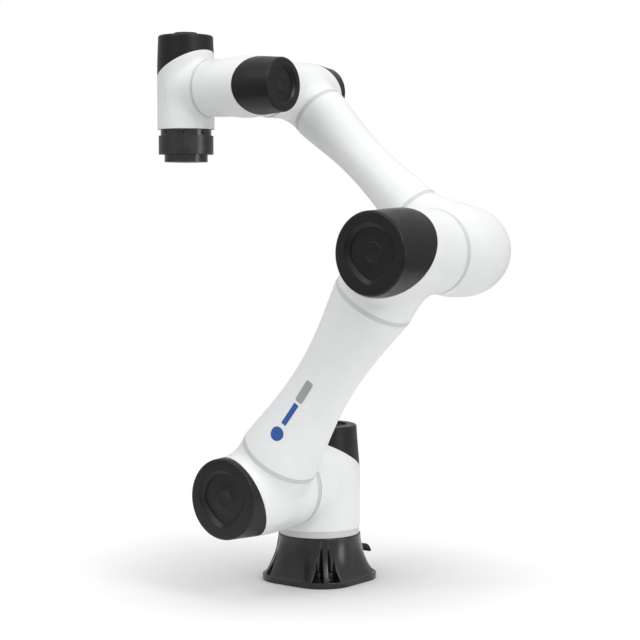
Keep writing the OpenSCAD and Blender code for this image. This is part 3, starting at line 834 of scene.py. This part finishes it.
# ---------------------------------------------------------------- floor, light and camera
FLOOR_R = 900.0
LIGHT_AIM = Vector((0.07, 0.05, 0.45))
# Soft boxes: name, place in metres, side in metres and power in watts
LIGHTS = (
    ("key", (2.2, -0.4, 2.3), 1.3, 18),
    ("top", (0.2, 0.3, 2.8), 1.4, 7),
    ("right", (0.6, 2.0, 1.9), 1.0, 22),
    ("side", (-0.6, 2.7, 0.5), 0.8, 7),
)


def sky_nodes(tree):
    """Pale background, with light that fades from overhead to below the floor's level."""
    background = tree.nodes["Background"]
    path = tree.nodes.new("ShaderNodeLightPath")
    coords = tree.nodes.new("ShaderNodeTexCoord")
    split = tree.nodes.new("ShaderNodeSeparateXYZ")
    fade = tree.nodes.new("ShaderNodeMapRange")
    for key, value in (("From Min", -0.6), ("From Max", 0.9), ("To Min", 0.30), ("To Max", 0.82)):
        fade.inputs[key].default_value = value
    seen = tree.nodes.new("ShaderNodeMix")
    tree.links.new(coords.outputs["Generated"], split.inputs["Vector"])
    tree.links.new(split.outputs["Z"], fade.inputs["Value"])
    tree.links.new(path.outputs["Is Camera Ray"], seen.inputs["Factor"])
    tree.links.new(fade.outputs["Result"], seen.inputs["A"])
    seen.inputs["B"].default_value = 1.0
    tree.links.new(seen.outputs["Result"], background.inputs["Strength"])
    background.inputs["Color"].default_value = (1, 1, 1, 1)


def studio():
    bm = bmesh.new()
    bmesh.ops.create_circle(bm, cap_ends=True, segments=96, radius=FLOOR_R)
    mesh = finished_mesh("floor", bm)
    floor = bpy.data.objects.new("floor", mesh)
    bpy.context.scene.collection.objects.link(floor)
    n = Nodes("floor_with_painted_glow")
    n.set(Base_Color=(0.76, 0.76, 0.76, 1), Roughness=0.9, Specular_IOR_Level=0.1)
    n.set(Emission_Color=(1, 1, 1, 1))
    # Painted light: the floor glows, with no glow near the base and more and more glow farther out (0 to 0.30
    # between 0.09 m and 0.5 m), so it reads white far away and shows painted shade, darker, around the base.
    away = n.new("ShaderNodeVectorMath", operation="LENGTH")
    n.link(n.place, away.inputs[0])
    n.link(n.ramp(away.outputs["Value"], 0.0, 0.30, 0.09, 0.50), n.shader.inputs["Emission Strength"])
    mesh.materials.append(n.material)
    world = bpy.data.worlds.new("studio")
    bpy.context.scene.world = world
    world.use_nodes = True
    sky_nodes(world.node_tree)
    for name, place, size, power in LIGHTS:
        light = bpy.data.lights.new(name, "AREA")
        light.size = size
        light.energy = power
        lamp = bpy.data.objects.new(name, light)
        lamp.location = place
        aim = LIGHT_AIM - Vector(place)
        lamp.rotation_euler = aim.to_track_quat("-Z", "Y").to_euler()
        bpy.context.scene.collection.objects.link(lamp)


def camera():
    """Camera at the photograph's viewing angle, level with the middle of the arm."""
    turn, tilt, away = math.radians(52.47), math.radians(3.5), 2584.33
    aim_z, aim_side = 387.25, 0.9
    target = np.array([0, 0, aim_z]) + aim_side * np.array([-math.cos(turn), math.sin(turn), 0])
    ahead = np.array([-math.sin(turn), -math.cos(turn), 0])
    forward = math.cos(tilt) * ahead - math.sin(tilt) * Z
    up = math.sin(tilt) * ahead + math.cos(tilt) * Z
    right = np.cross(forward, up)
    place = (target - away * forward) * MM
    data = bpy.data.cameras.new("camera")
    data.lens = 97.71
    data.sensor_width = 36
    data.clip_end = 60
    cam = bpy.data.objects.new("camera", data)
    rows = np.stack([right, up, -forward], 1)
    cam.matrix_world = Matrix.Translation(Vector(place)) @ Matrix(rows.tolist()).to_4x4()
    bpy.context.scene.collection.objects.link(cam)
    bpy.context.scene.camera = cam


DOWN_AT_SHOULDER = math.atan2(-SHOULDER.rows[1][2], -SHOULDER.rows[0][2])
DOWN_AT_ELBOW = math.atan2(-ELBOW.rows[1][2], -ELBOW.rows[0][2])

camera()
shoulder_housing()
large_housing(
    "upper_arm_housing_cast", SHOULDER, SHOULDER_FACE, SHOULDER_RIM, "shoulder",
    UPPER, (0, LOWER_RING + 12), UPPER_SPAN[0] - TRIM, 1, "upper_arm_housing",
)
large_housing(
    "elbow_housing_cast", ELBOW, ELBOW_FACE, ELBOW_RIM, "elbow",
    UPPER, (UPPER_RING - 12, UPPER_LEN), UPPER_SPAN[1] + TRIM, -1, "elbow_housing",
)
forearm_housing()
wrist1_housing()
wrist2_housing()
wrist3_housing()
arm_tube("upper_arm_tube_cast", UPPER, upper_radius, *UPPER_SPAN, 6, "upper_arm", "upper_arm_tube")
arm_tube("forearm_tube_cast", FOREARM, forearm_radius, *FOREARM_SPAN, 5, "forearm", "forearm_tube")
film("blue_disc", 111.5, 131.5, 10, 10, "blue_print", "blue_label")
film("blue_bar", 138, 173, 4, 0.8, "blue_print", "blue_label")
film("grey_plate", 177, 212, 6, 3, "grey_print", "grey_label")
cap("shoulder_cap_moulded", COLUMN, "column", 150, COLUMN_TOP, "shoulder", "shoulder_cap", 0.0)
cap(
    "upper_arm_cap_moulded", SHOULDER, "shoulder", SHOULDER_FACE + 30, SHOULDER_RIM,
    "upper_arm", "upper_arm_cap", DOWN_AT_SHOULDER,
)
cap(
    "elbow_cap_moulded", ELBOW, "elbow", ELBOW_FACE + 30, ELBOW_RIM,
    "upper_arm", "elbow_cap", DOWN_AT_ELBOW,
)
cap("wrist1_cap_moulded", WRIST1, "wrist1", -20, WRIST1_RIM, "forearm", "wrist1_cap")
cap("wrist2_cap_moulded", WRIST2, "wrist2", -10, WRIST2_RIM, "wrist2", "wrist2_cap")
cap("wrist3_cap_moulded", WRIST3, "wrist3", -5, WRIST3_RIM, "wrist3", "wrist3_cap", None, 8.0, 1.45)
base_casting()
repaint_carried_nodes()
studio()
bpy.context.scene.view_settings.view_transform = "Standard"
